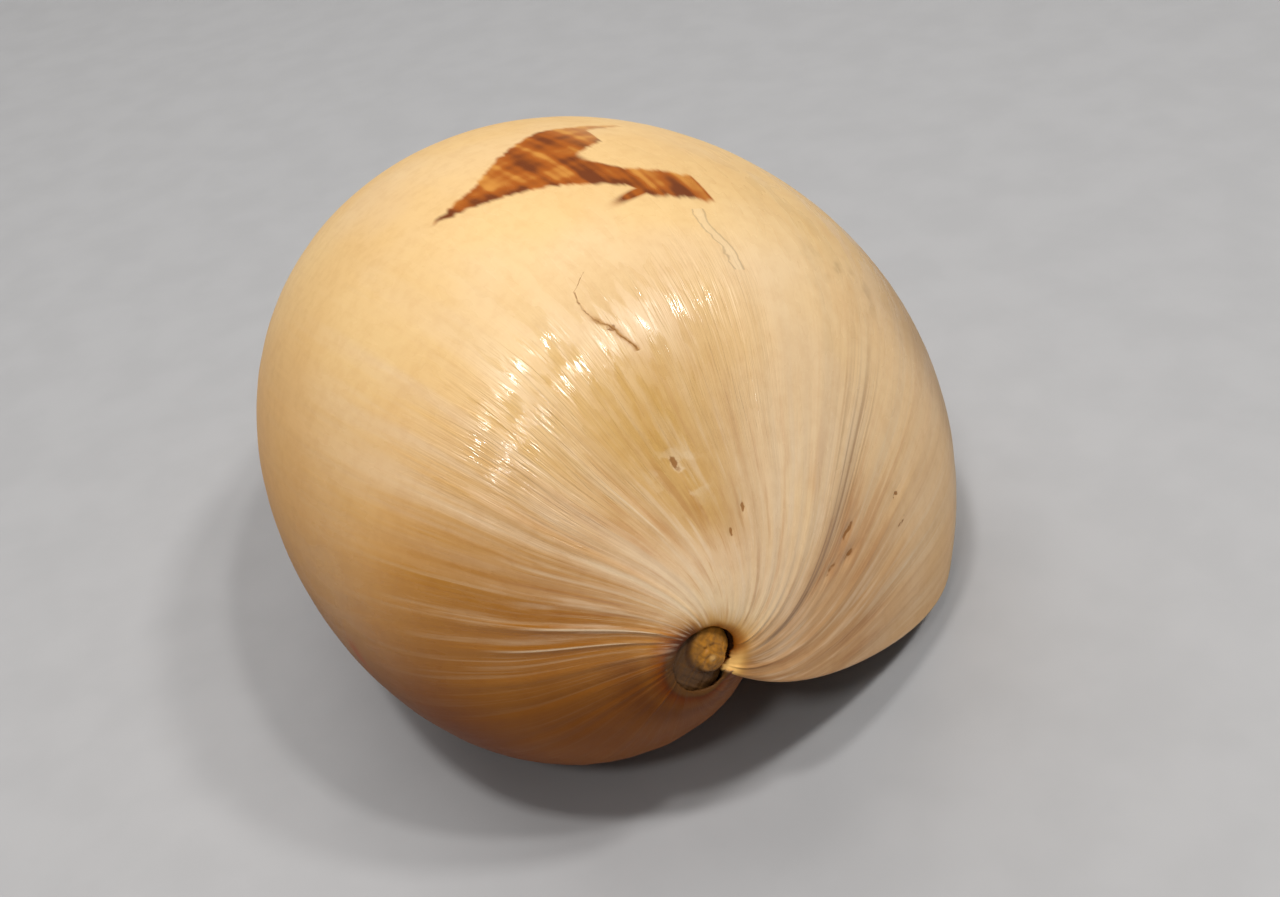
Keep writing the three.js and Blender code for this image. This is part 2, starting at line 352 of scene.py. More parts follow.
@dataclass
class Whorl:
    """The last whorl as one sheet: in from the deep inside, round the lip, once round and in again."""

    law: GrowthLaw
    relief: Relief
    pose: Pose
    lip_wall: float = 1.4
    wall: float = 2.4
    wall_settle: float = 0.4
    glaze: float = 1.4
    glaze_edge: float = 0.4
    cavity_from: float = 0.215
    cavity_step: float = 0.025
    cavity_filled: float = 0.13
    cavity_to: float = 0.972
    pit_span: float = 0.03
    pit_inward: float = 1.3
    pit_drop: float = 3.0
    cap_span: float = 0.02
    pit_wall: float = 1.6
    pit_base: float = -9.0
    pit_floor: float = -4.0
    depth: float = 7.0
    closing: float = 0.8
    thinning: float = 0.08
    strip_share: float = 0.7
    strip_drop: float = 3.5
    glaze_start: float = -0.3
    join: Span = (-0.12, 0.06)
    outside_end: Span = (-0.2, 0.05)
    plain_lip: float = 0.12
    pillar_radius: float = 8.0
    pillar_taper: float = 0.3
    foot_drop: float = 3.6
    foot_from: float = 0.8
    pillar_from: float = 0.52
    pillar_full: float = 0.93
    plaits: tuple[float, ...] = (0.68, 0.74, 0.8)
    plait_height: float = 3.4
    plait_half_width: float = 0.03
    columns: int = 140
    crowding: float = 1.3
    cap_height: float = 3.0
    end_kept: float = 0.985
    start_margin: float = 0.006
    rim_waves: tuple[Wave, ...] = (Wave(0.45, 0.16, 21), Wave(0.2, 0.05, 22))
    rim_lift: Wave = Wave(0.35, 0.12, 23)
    edge_rows: tuple[float, ...] = (
        0.0006, 0.0014, 0.0026, 0.0044, 0.007, 0.011, 0.016, 0.023, 0.033, 0.046
    )

    def ages(self) -> Array:
        """The signed age of each row: below 0 on the inner wall, and past a turn inside again."""
        inner = [*self.edge_rows, *np.arange(0.07, 3.5, 0.07), *np.arange(3.5, self.depth + 0.01, 0.14)]
        outer = [
            0.0,
            *self.edge_rows,
            *np.arange(0.06, 4.3, 0.016),
            *np.arange(4.3, 6.08, 0.032),
            *np.arange(6.08, 6.5, 0.02),
            *np.arange(6.5, 9.8, 0.07),
            *np.arange(9.8, TURN + self.depth, 0.14),
        ]
        return np.array([*(-a for a in reversed(inner)), *outer])

    def places(self) -> Array:
        """The place along the lip of each column: below 0 in the pit, and past 1 on the end cap."""
        pit = [-self.pit_span, -0.02, -0.01]
        along = (np.arange(self.columns + 1) / self.columns) ** self.crowding
        return np.array([*pit, *along, 1.01, 1.0 + self.cap_span])

    def start(self, age: Array) -> Array:
        """Where the mouth's hollow begins along the lip, seen from the apex."""
        step = self.cavity_step * smoothstep(0.0, 1.0, age)
        return self.cavity_from + step + self.cavity_filled * smoothstep(TURN / 3, self.depth, age)

    def inner_side(self, age: Array, s: Array, blend: Array, coat: Array) -> tuple[Array, Array]:
        """The mouth's inner side: the earlier whorl with its glaze, running into the folded pillar.

        Args:
            age: radians back from the lip, for the whorl that the mouth belongs to.
            s: place along the lip.
            blend: how much of the pillar shows, from 0 to 1.
            coat: thickness of the glaze.

        Returns:
            Radius and height.
        """
        radius, height = self.law.raised(age + TURN, s, coat)
        clear = self.law.rim(np.maximum(age, 0.0)) + self.pit_wall
        clear = clear * smoothstep(self.pit_base, self.pit_floor, height) * blend
        radius = np.maximum(radius, clear)
        pillar = smoothstep(self.pillar_from, self.pillar_full, s) * blend
        scale = np.exp(-self.pillar_taper * self.law.radial_rate * np.maximum(age, 0.0))
        end = self.law.profile(age, s)[1] + self.foot_drop * smoothstep(self.foot_from, 1.0, s)
        folds = sum(raised_cosine((s - at) / self.plait_half_width) for at in self.plaits)
        core = (self.pillar_radius * pillar + self.plait_height * folds * blend) * scale
        return radius * (1 - pillar) + core, height * (1 - pillar) + end * pillar

    def coat(self, age: Array) -> Array:
        """Thickness of the glaze that a mouth of this age lays on the earlier whorl."""
        return self.glaze_edge + (self.glaze - self.glaze_edge) * smoothstep(0.0, self.wall_settle, age)

    def rounding(self, age: Array, s: Array) -> Array:
        """Half the wall's thickness at the lip, rounded off to nothing at its very edge."""
        half = self.lip_wall / 2
        arc = np.minimum(1.0, age * self.law.speed(s) / half)
        return half * np.sqrt(1.0 - (1.0 - arc) ** 2)

    def turned(self, age: Array, s: Array, radius: Array, height: Array) -> Array:
        """Points at a radius and height, each swung round the axis to its growth line."""
        angle = age + self.law.skew(s)
        return np.stack([radius * np.cos(angle), radius * np.sin(angle), height], -1)

    def outer_points(self, age: Array, s: Array) -> Array:
        """Points of the outer surface and of what it becomes inside the mouth."""
        flat = np.clip(s, 0.0, 1.0)
        within = age - TURN
        coat = self.coat(within) - self.glaze_edge * (1.0 - smoothstep(self.glaze_start, 0.0, within))
        shown = (1.0 - smoothstep(*self.outside_end, within)) * smoothstep(0.0, self.plain_lip, age)
        relief = self.relief.height(self.law, age, flat) * shown
        edge = self.rounding(age, flat) - self.lip_wall / 2
        radius, height = self.law.raised(age, flat, edge + relief)
        mouth = within > self.glaze_start
        r_in, h_in = self.inner_side(within, flat, smoothstep(*self.join, within), coat + relief)
        radius = np.where(mouth, r_in, radius)
        height = np.where(mouth, h_in, height)
        pit = np.clip(-s / self.pit_span, 0.0, 1.0)
        rim = 1.0 - smoothstep(0.0, 0.06, s)
        radius = radius - self.pit_inward * pit**0.7 + rim * sum(wave.at(age) for wave in self.rim_waves)
        height = height - self.pit_drop * pit**1.6 + rim * self.rim_lift.at(age)
        cap = np.clip((s - 1.0) / self.cap_span, 0.0, 1.0)
        return self.turned(age, flat, radius * (1.0 - cap), height + self.cap_height * cap)

    def inner_points(self, age: Array, s: Array) -> Array:
        """Points of the inner wall, with the strips that close it towards the apex and the far end."""
        start = self.start(age)
        flat = np.clip(s, start, self.cavity_to)
        more = self.wall * np.exp(-self.thinning * age) - self.lip_wall
        wall = self.lip_wall / 2 + self.rounding(age, flat)
        wall = wall + more * smoothstep(0.0, self.wall_settle, age)
        radius, height = self.law.raised(age, flat, -wall)
        r_in, h_in = self.inner_side(age, flat, np.ones_like(age), self.coat(age))
        near = np.clip((start - s) / start, 0.0, 1.0)
        far = np.clip((s - self.cavity_to) / (1.0 - self.cavity_to), 0.0, 1.0)
        across = np.maximum(np.clip(near / self.strip_share, 0.0, 1.0), far)
        across = np.maximum(across, smoothstep(self.depth - self.closing, self.depth, age))
        below = np.clip((near - self.strip_share) / (1.0 - self.strip_share), 0.0, 1.0)
        radius = radius + (r_in - radius) * across
        height = height + (h_in - height) * across - self.strip_drop * below
        return self.turned(age, flat, radius, height)

    def build(self) -> bpy.types.Object:
        """The sheet as a mesh object, with the growth attributes that its glaze follows."""
        ages = self.ages()
        places = self.places()
        sheet = new_grid(len(ages) - 1, len(places) - 1)
        mesh = sheet.data
        grid = coordinates(mesh)
        signed = ages[np.unique(np.round(grid[:, 0], 6), return_inverse=True)[1]]
        s = places[np.unique(np.round(grid[:, 1], 6), return_inverse=True)[1]]
        outer = self.outer_points(np.maximum(signed, 0.0), s)
        inner = self.inner_points(np.maximum(-signed, 0.0), s)
        points = np.where((signed >= 0.0)[:, None], outer, inner)
        mesh.vertices.foreach_set("co", self.pose.lay(points).ravel())
        flat_s = np.clip(s, 0.0, 1.0)
        store(mesh, "age", signed)
        store(mesh, "along", flat_s)
        store(mesh, "line", np.where(signed >= 0, self.law.line(signed, flat_s), signed))
        self.trim(sheet, signed, s)
        mesh.update()
        return sheet

    def trim(self, sheet: bpy.types.Object, signed: Array, s: Array) -> None:
        """Takes away the parts of the sheet that lie buried inside the shell.

        Args:
            sheet: the sheet.
            signed: signed age of each vertex.
            s: place along the lip of each vertex.
        """
        inside = signed > TURN + 0.05
        buried = (signed < 0) & ((s < 0.0) | (s > 1.0))
        buried |= inside & ((s < self.start(signed - TURN) - self.start_margin) | (s > self.end_kept))
        select_vertices(sheet, buried)
        bpy.ops.object.mode_set(mode="EDIT")
        bpy.ops.mesh.select_mode(type="VERT")
        bpy.ops.mesh.delete(type="VERT")
        bpy.ops.object.mode_set(mode="OBJECT")


@dataclass
class Pillar:
    """The pillar round the axis, tapered at its foot."""

    pose: Pose
    profile: Path = (
        (0.4, -176.4), (1.92, -176.0), (3.1, -174.6), (4.0, -172.5), (5.0, -169.2), (5.76, -166.0),
        (6.6, -161.6), (7.36, -157.0), (8.0, -151.4), (8.48, -146.0), (8.75, -140.4), (8.8, -135.0),
        (8.5, -125.0), (8.0, -115.0), (7.6, -90.0), (7.2, -64.0),
    )
    sides: int = 48
    age: float = TURN + 0.6
    along: float = 0.95
    lines_per_mm: float = 0.02

    def build(self) -> bpy.types.Object:
        """The pillar, drawn up from its foot ring by ring."""
        radius, height = self.profile[0]
        bpy.ops.object.select_all(action="DESELECT")
        bpy.ops.mesh.primitive_circle_add(
            vertices=self.sides, radius=radius, fill_type="NGON", location=(0, 0, 0)
        )
        pillar = bpy.context.object
        bpy.ops.object.mode_set(mode="EDIT")
        bpy.ops.mesh.select_all(action="SELECT")
        bpy.ops.transform.translate(value=(0, 0, height))
        for wider, higher in self.profile[1:]:
            bpy.ops.mesh.extrude_region_move(
                TRANSFORM_OT_translate={"value": (0, 0, higher - height)}
            )
            bpy.ops.transform.resize(value=(wider / radius, wider / radius, 1.0))
            radius, height = wider, higher
        bpy.ops.mesh.select_all(action="SELECT")
        bpy.ops.mesh.normals_make_consistent(inside=False)
        bpy.ops.object.mode_set(mode="OBJECT")
        mesh = pillar.data
        points = coordinates(mesh)
        store(mesh, "age", np.full(len(points), self.age))
        store(mesh, "along", np.full(len(points), self.along))
        store(mesh, "line", points[:, 2] * self.lines_per_mm)
        mesh.vertices.foreach_set("co", self.pose.lay(points).ravel())
        mesh.update()
        return pillar


@dataclass(frozen=True)
class Mound:
    """One of the first whorls seen from above, as a rounded mound."""

    radius: float
    top: float
    crown: float
    centre: Span

    def height(self, x: Array, y: Array, floor: float) -> Array:
        """The mound's height over the pit's floor."""
        rho = np.hypot(x - self.centre[0], y - self.centre[1]) / self.radius
        cap = self.top - self.crown * (1.0 - np.sqrt(np.clip(1.0 - rho**2, 0.0, 1.0)))
        return np.where(rho < 1.0, np.maximum(cap, floor), floor)


@dataclass
class Apex:
    """The smooth first whorls in their pit."""

    pose: Pose
    floor: float = -1.7
    reach: float = 7.4
    mounds: tuple[Mound, ...] = (
        Mound(6.3, 0.62, 1.4, (-0.6, -2.2)),
        Mound(4.6, 1.25, 2.3, (-0.5, 0.85)),
        Mound(2.5, 1.65, 0.9, (0.66, 0.83)),
    )
    groove_depth: float = 0.18
    groove_width: float = 0.36
    groove_start: float = 0.2
    groove_pitch: float = 1.5
    groove_end: float = 3.4
    groove_laps: int = 3
    middle: Span = (0.29, 1.07)
    grain: tuple[tuple[Wave, float, float], ...] = (
        (Wave(0.07, 0.5, 11), 1.3, 0.4),
        (Wave(0.07, 0.45, 12), -0.3, 1.2),
    )
    rings: int = 64
    spokes: int = 132

    def build(self) -> bpy.types.Object:
        """The first whorls as one rounded surface over the pit."""
        apex = new_grid(self.rings, self.spokes)
        mesh = apex.data
        grid = coordinates(mesh)
        rho = (grid[:, 0] * 0.5 + 0.5) * self.reach
        angle = (grid[:, 1] * 0.5 + 0.5) * TURN
        x = rho * np.cos(angle)
        y = rho * np.sin(angle)
        heights = np.stack([mound.height(x, y, self.floor) for mound in self.mounds])
        z = heights.max(0)
        nucleus = self.mounds[2]
        dx = x - nucleus.centre[0]
        dy = y - nucleus.centre[1]
        sweep = np.arctan2(dy, dx) / TURN
        for lap in range(self.groove_laps):
            path = self.groove_start + self.groove_pitch * (sweep + lap)
            away = (np.hypot(dx, dy) - path) / self.groove_width
            cut = (path < self.groove_end) & (heights[1] > heights[0])
            z = z - self.groove_depth * np.exp(-away * away) * cut
        for wave, a, b in self.grain:
            z = z + wave.at(x * a + y * b)
        mesh.vertices.foreach_set("co", self.pose.lay(np.stack([x, y, z], -1)).ravel())
        store(mesh, "first", heights[1] - heights[0])
        store(mesh, "height", z)
        store(mesh, "middle", np.hypot(x - self.middle[0], y - self.middle[1]))
        bpy.ops.object.mode_set(mode="EDIT")
        bpy.ops.mesh.select_all(action="SELECT")
        bpy.ops.mesh.remove_doubles(threshold=2e-5)
        bpy.ops.object.mode_set(mode="OBJECT")
        mesh.update()
        return apex


def new_grid(columns: int, rows: int) -> bpy.types.Object:
    """A new flat grid from -1 to 1 each way."""
    bpy.ops.object.select_all(action="DESELECT")
    bpy.ops.mesh.primitive_grid_add(
        x_subdivisions=columns, y_subdivisions=rows, size=2.0, location=(0, 0, 0)
    )
    return bpy.context.object


def coordinates(mesh: bpy.types.Mesh) -> Array:
    """The mesh's vertices as an array of points."""
    flat = np.empty(len(mesh.vertices) * 3)
    mesh.vertices.foreach_get("co", flat)
    return flat.reshape(-1, 3)


def store(mesh: bpy.types.Mesh, name: str, values: Array) -> None:
    """Keeps one number for each vertex under a name that the materials read."""
    attribute = mesh.attributes.new(name, "FLOAT", "POINT")
    attribute.data.foreach_set("value", np.asarray(values, dtype=np.float32))


def select_vertices(piece: bpy.types.Object, chosen: Array) -> None:
    """Selects the chosen vertices of a piece and nothing else."""
    mesh = piece.data
    mesh.polygons.foreach_set("select", np.zeros(len(mesh.polygons), dtype=bool))
    mesh.edges.foreach_set("select", np.zeros(len(mesh.edges), dtype=bool))
    mesh.vertices.foreach_set("select", np.asarray(chosen, dtype=bool))


class Maths(Enum):
    """The operations of a Math node that the finishes use."""

    ADD = "ADD"
    SUBTRACT = "SUBTRACT"
    MULTIPLY = "MULTIPLY"
    DIVIDE = "DIVIDE"
    POWER = "POWER"
    MINIMUM = "MINIMUM"
    MAXIMUM = "MAXIMUM"
    ABSOLUTE = "ABSOLUTE"


class Blend(Enum):
    """How one colour goes over another."""

    OVER = "MIX"
    MULTIPLY = "MULTIPLY"


class Wire:
    """A shader value. Python's operators on it add Math nodes."""

    def __init__(self, bench: "Bench", socket: bpy.types.NodeSocket) -> None:
        """Wraps a socket of the bench's node tree."""
        self.bench = bench
        self.socket = socket

    def __add__(self, other: Any) -> "Wire":
        """Sum."""
        return self.bench.maths(Maths.ADD, self, other)

    def __radd__(self, other: Any) -> "Wire":
        """Sum with a number on the left."""
        return self.bench.maths(Maths.ADD, other, self)

    def __sub__(self, other: Any) -> "Wire":
        """Difference."""
        return self.bench.maths(Maths.SUBTRACT, self, other)

    def __rsub__(self, other: Any) -> "Wire":
        """Difference from a number on the left."""
        return self.bench.maths(Maths.SUBTRACT, other, self)

    def __mul__(self, other: Any) -> "Wire":
        """Product."""
        return self.bench.maths(Maths.MULTIPLY, self, other)

    def __rmul__(self, other: Any) -> "Wire":
        """Product with a number on the left."""
        return self.bench.maths(Maths.MULTIPLY, other, self)

    def __truediv__(self, other: Any) -> "Wire":
        """Quotient."""
        return self.bench.maths(Maths.DIVIDE, self, other)

    def __pow__(self, other: Any) -> "Wire":
        """Power."""
        return self.bench.maths(Maths.POWER, self, other)

    def __abs__(self) -> "Wire":
        """Size without the sign."""
        return self.bench.maths(Maths.ABSOLUTE, self)

    def least(self, other: Any) -> "Wire":
        """The lesser of two values."""
        return self.bench.maths(Maths.MINIMUM, self, other)

    def most(self, other: Any) -> "Wire":
        """The greater of two values."""
        return self.bench.maths(Maths.MAXIMUM, self, other)

    def rise(self, low: float, high: float) -> "Wire":
        """A smooth rise from 0 at low to 1 at high; low may be the greater, for a fall."""
        return self.bench.rise(self, low, high)

    def hump(self, centre: Any, half: float) -> "Wire":
        """A smooth hump round the centre, half as wide on each side."""
        return abs(self - centre).rise(half, 0.0)


class Bench:
    """The node tree of one material."""

    def __init__(self, name: str) -> None:
        """Starts a new material with an empty tree."""
        self.material = bpy.data.materials.new(name)
        self.material.use_nodes = True
        self.tree = self.material.node_tree
        self.tree.nodes.clear()

    def node(self, kind: str, settings: dict[str, Any], sockets: dict[Any, Any]) -> bpy.types.Node:
        """Adds a node.

        Args:
            kind: the node's type.
            settings: its own settings, and "stops" for a ramp or "points" for a curve.
            sockets: values or wires for its inputs, by name or number.

        Returns:
            The new node.
        """
        made = self.tree.nodes.new(kind)
        for name, value in settings.items():
            if name == "stops":
                fill_ramp(made.color_ramp, value)
            elif name == "points":
                fill_curve(made.mapping, value)
            else:
                setattr(made, name, value)
        for name, value in sockets.items():
            if isinstance(value, Wire):
                self.tree.links.new(value.socket, made.inputs[name])
            else:
                made.inputs[name].default_value = value
        return made

    def maths(self, operation: Maths, *values: Any) -> Wire:
        """A Math node on one or two values."""
        made = self.node(
            "ShaderNodeMath", {"operation": operation.value}, dict(enumerate(values))
        )
        return Wire(self, made.outputs[0])

    def rise(self, value: Wire, low: float, high: float) -> Wire:
        """A smooth rise of a value, as a Map Range node."""
        sockets: dict[Any, Any] = {"Value": value}
        if low <= high:
            sockets |= {"From Min": low, "From Max": high, "To Min": 0.0, "To Max": 1.0}
        else:
            sockets |= {"From Min": high, "From Max": low, "To Min": 1.0, "To Max": 0.0}
        made = self.node("ShaderNodeMapRange", {"interpolation_type": "SMOOTHSTEP"}, sockets)
        return Wire(self, made.outputs["Result"])

    def attribute(self, name: str) -> Wire:
        """A number that the mesh keeps for each vertex."""
        made = self.node(
            "ShaderNodeAttribute", {"attribute_type": "GEOMETRY", "attribute_name": name}, {}
        )
        return Wire(self, made.outputs["Fac"])

    def place(self) -> Wire:
        """Object coordinates, in metres."""
        return Wire(self, self.node("ShaderNodeTexCoord", {}, {}).outputs["Object"])

    def vector(self, x: Any, y: Any, z: Any = 0.0) -> Wire:
        """A vector from three values."""
        made = self.node("ShaderNodeCombineXYZ", {}, {"X": x, "Y": y, "Z": z})
        return Wire(self, made.outputs["Vector"])

    def noise(self, vector: Wire, scale: float, detail: float = 2.0, rough: float = 0.5) -> Wire:
        """Soft noise from 0 to 1."""
        made = self.node(
            "ShaderNodeTexNoise",
            {"noise_dimensions": "3D"},
            {"Vector": vector, "Scale": scale, "Detail": detail, "Roughness": rough},
        )
        return Wire(self, made.outputs["Fac"])

    def ramp(self, value: Wire, stops: Sequence[tuple[float, Colour]]) -> Wire:
        """A colour for each value, from a list of stops."""
        made = self.node("ShaderNodeValToRGB", {"stops": stops}, {"Fac": value})
        return Wire(self, made.outputs["Color"])

    def curve(self, value: Wire, points: Sequence[Span]) -> Wire:
        """A number for each value, along straight stretches between points from 0 to 1."""
        made = self.node("ShaderNodeFloatCurve", {"points": points}, {"Value": value})
        return Wire(self, made.outputs["Value"])

    def mix(self, share: Any, under: Any, over: Any, blend: Blend = Blend.OVER) -> Wire:
        """One colour over another.

        Args:
            share: how much of the upper colour shows.
            under: the lower colour, as a wire or as red, green and blue.
            over: the upper colour.
            blend: how they are put together.

        Returns:
            The mixed colour.
        """
        made = self.node(
            "ShaderNodeMix",
            {"data_type": "RGBA", "blend_type": blend.value},
            {0: share, 6: paint(under), 7: paint(over)},
        )
        return Wire(self, made.outputs[2])

    def surface(self, sockets: dict[str, Any]) -> Wire:
        """A Principled surface with these sockets."""
        return Wire(self, self.node("ShaderNodeBsdfPrincipled", {}, sockets).outputs[0])

    def coated(self, share: Wire, under: Wire, over: Wire) -> Wire:
        """One surface over another, by share."""
        return Wire(self, self.node("ShaderNodeMixShader", {}, {0: share, 1: under, 2: over}).outputs[0])

    def relief(self, height: Wire) -> Wire:
        """A normal bent by a height in millimetres."""
        made = self.node("ShaderNodeBump", {}, {"Strength": 1.0, "Distance": MM, "Height": height})
        return Wire(self, made.outputs["Normal"])

    def finish(self, surface: Wire) -> bpy.types.Material:
        """Ends the tree in a surface."""
        self.node("ShaderNodeOutputMaterial", {}, {"Surface": surface})
        return self.material


def paint(colour: Any) -> Any:
    """A colour as a socket takes it: wires stay, and three numbers get an opaque fourth."""
    return colour if isinstance(colour, Wire) else (*colour, 1.0)


def fill_ramp(ramp: bpy.types.ColorRamp, stops: Sequence[tuple[float, Colour]]) -> None:
    """Gives a colour ramp its stops."""
    while len(ramp.elements) > 1:
        ramp.elements.remove(ramp.elements[-1])
    ramp.elements[0].position = stops[0][0]
    ramp.elements[0].color = (*stops[0][1], 1.0)
    for position, colour in stops[1:]:
        ramp.elements.new(position).color = (*colour, 1.0)


def fill_curve(mapping: bpy.types.CurveMapping, points: Sequence[Span]) -> None:
    """Gives a curve its points, joined by straight lines."""
    line = mapping.curves[0]
    line.points[0].location = points[0]
    line.points[1].location = points[-1]
    for point in points[1:-1]:
        line.points.new(*point)
    for point in line.points:
        point.handle_type = "VECTOR"
    mapping.update()


class Coat:
    """The colour of a finish, built up layer by layer."""

    def __init__(self, bench: Bench, colour: Wire) -> None:
        """Starts from one colour."""
        self.bench = bench
        self.colour = colour

    def lay(self, share: Any, colour: Any) -> None:
        """Lays a colour over what is there."""
        self.colour = self.bench.mix(share, self.colour, colour)

    def stain(self, share: Any, colour: Any) -> None:
        """Multiplies what is there by a colour."""
        self.colour = self.bench.mix(share, self.colour, colour, Blend.MULTIPLY)


@dataclass(frozen=True)
class Band:
    """A soft-edged stretch of the growth with a tone laid on it: some bands carry the shell's own tone,
    others painted shade.

    Each step in ages and places rises from its first value to its second, and the steps multiply.
    """

    tone: Colour
    ages: Path = ()
    places: Path = ()
    share: float = 1.0
    blend: Blend = Blend.MULTIPLY

    def cover(self, age: Wire, along: Wire) -> Wire:
        """How much of the band shows at each point, from 0 to its share."""
        steps = [age.rise(*step) for step in self.ages] + [along.rise(*step) for step in self.places]
        return math.prod(steps, start=self.share)


class Growth:
    """What the glaze reads at each point: its place in the growth, and the noises that are shared."""

    def __init__(self, bench: Bench) -> None:
        """Adds the nodes that are read."""
        self.bench = bench
        self.age = bench.attribute("age")
        self.along = bench.attribute("along")
        self.line = bench.attribute("line")
        self.place = bench.place()
        self.cloud = bench.noise(self.place, 38.0, 3.0)
        self.speck = bench.noise(self.place, 300.0, 3.0)
        self.jag = bench.noise(self.place, 800.0, 2.0) - 0.5
        self.shiver = (self.speck - 0.5) * 0.045
        self.broad = self.grain(self.line * 9.0, self.along * 2.5, 3.0, 0.6)
        self.soft = self.grain(self.line * 13.0, self.along * 9.0, 3.0, 0.6)
        self.streak = self.grain(self.line * 30.0, self.along * 4.0, 3.0, 0.6)
        self.fine = self.grain(self.line * 120.0, self.along * 7.0, 2.0, 0.6)
        self.near = self.streaky()

    def grain(self, across: Wire, down: Wire, detail: float = 1.0, rough: float = 0.5) -> Wire:
        """Noise over two stretched growth coordinates."""
        return self.bench.noise(self.bench.vector(across, down), 1.0, detail, rough)

    def streaky(self) -> Wire:
        """Where the streaks are strong: near the apex, on either side of the smooth golden stretch."""
        close = self.along.rise(0.1, 0.17) * self.along.rise(0.1, 0.26) * self.along.rise(0.5, 0.3)
        beside = 0.12 + 0.88 * abs(self.line - 1.78).rise(0.35, 0.9)
        return close * beside * (1.0 - self.age.rise(3.2, 4.0) * 0.6)


@dataclass(frozen=True)
class Palette:
    """The colours of the glaze, with the painted glints, highlight and shade among them."""

    milk_and_glint: Colour = (0.9, 0.7, 0.46)
    ivory: Colour = (0.95, 0.7, 0.41)
    flax: Colour = (0.92, 0.72, 0.5)
    straw: Colour = (0.92, 0.74, 0.5)
    oat: Colour = (0.86, 0.66, 0.46)
    biscuit: Colour = (0.88, 0.66, 0.44)
    blush: Colour = (0.7, 0.46, 0.28)
    honey: Colour = (0.62, 0.35, 0.08)
    tan_and_shade: Colour = (0.84, 0.55, 0.2)
    fawn: Colour = (0.7, 0.48, 0.3)
    tan: Colour = (0.56, 0.3, 0.11)
    wheat: Colour = (0.82, 0.64, 0.4)
    dun: Colour = (0.8, 0.64, 0.44)
    clay: Colour = (0.74, 0.6, 0.46)
    lead: Colour = (0.45, 0.36, 0.31)
    soot: Colour = (0.42, 0.38, 0.32)
    rust: Colour = (0.4, 0.088, 0.003)
    umber: Colour = (0.15, 0.021, 0.001)
    amber: Colour = (0.66, 0.27, 0.045)
    pitted: Colour = (0.3, 0.115, 0.022)
    chipped: Colour = (0.5, 0.27, 0.09)
    cracked: Colour = (0.24, 0.08, 0.012)
    flake_lit_top: Colour = (0.95, 0.78, 0.52)
    flake_line_and_shadow: Colour = (0.42, 0.3, 0.17)
    apricot: Colour = (1.0, 0.6, 0.19)
    grime: Colour = (0.06, 0.022, 0.006)
    rim_highlight: Colour = (0.55, 0.44, 0.32)
    mouth: Colour = (0.82, 0.5, 0.22)


